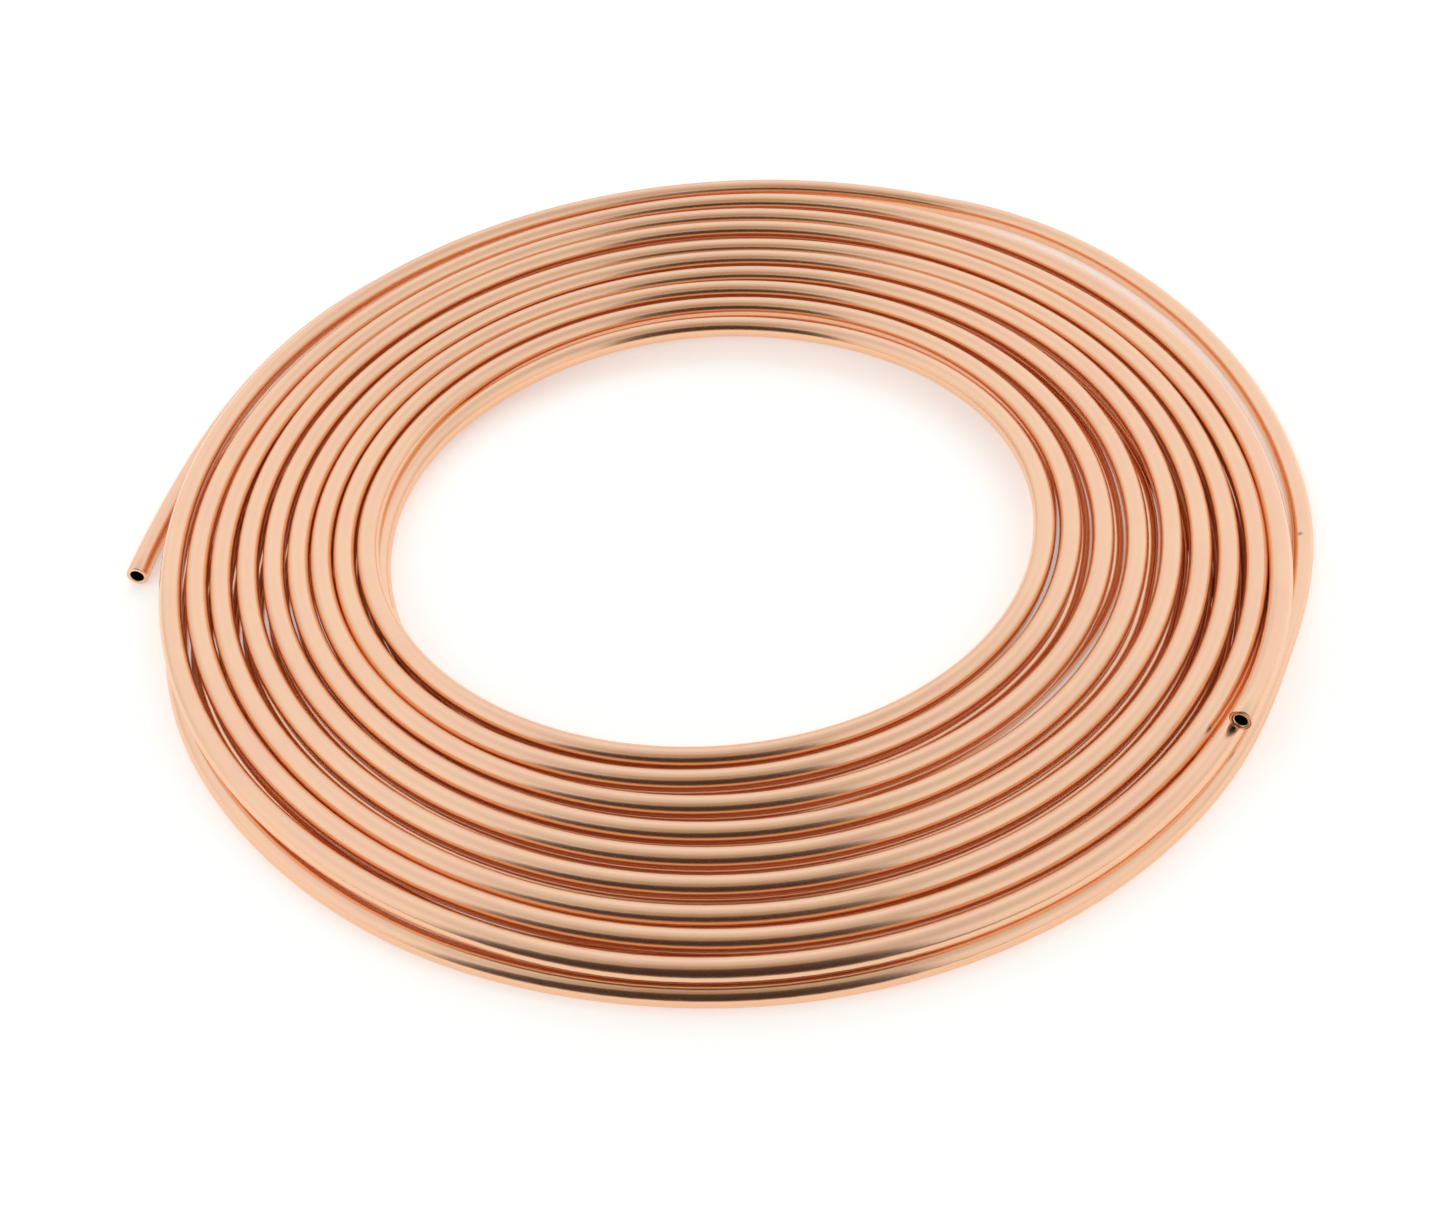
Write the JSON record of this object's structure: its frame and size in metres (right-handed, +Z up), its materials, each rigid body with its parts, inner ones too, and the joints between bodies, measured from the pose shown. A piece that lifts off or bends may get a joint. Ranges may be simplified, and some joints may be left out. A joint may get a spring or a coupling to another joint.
{
  "type": "copper tube coil",
  "caption": "Flat two-layer pancake coil of soft copper tube with an open centre and two open, free ends.",
  "frame": {"origin": "on the coil's axis, at the level it lies on", "axes": "+Z up, along the coil's axis and out of its top face; -Y along the straight side end, out of its mouth, which is at the coil's -X side"},
  "size_m": [0.3316, 0.3294, 0.0163],
  "materials": {
    "copper": "bright drawn soft copper with a light sheen"
  },
  "bodies": {
    "root": {"copper_tube": "copper"}
  },
  "joints": []
}
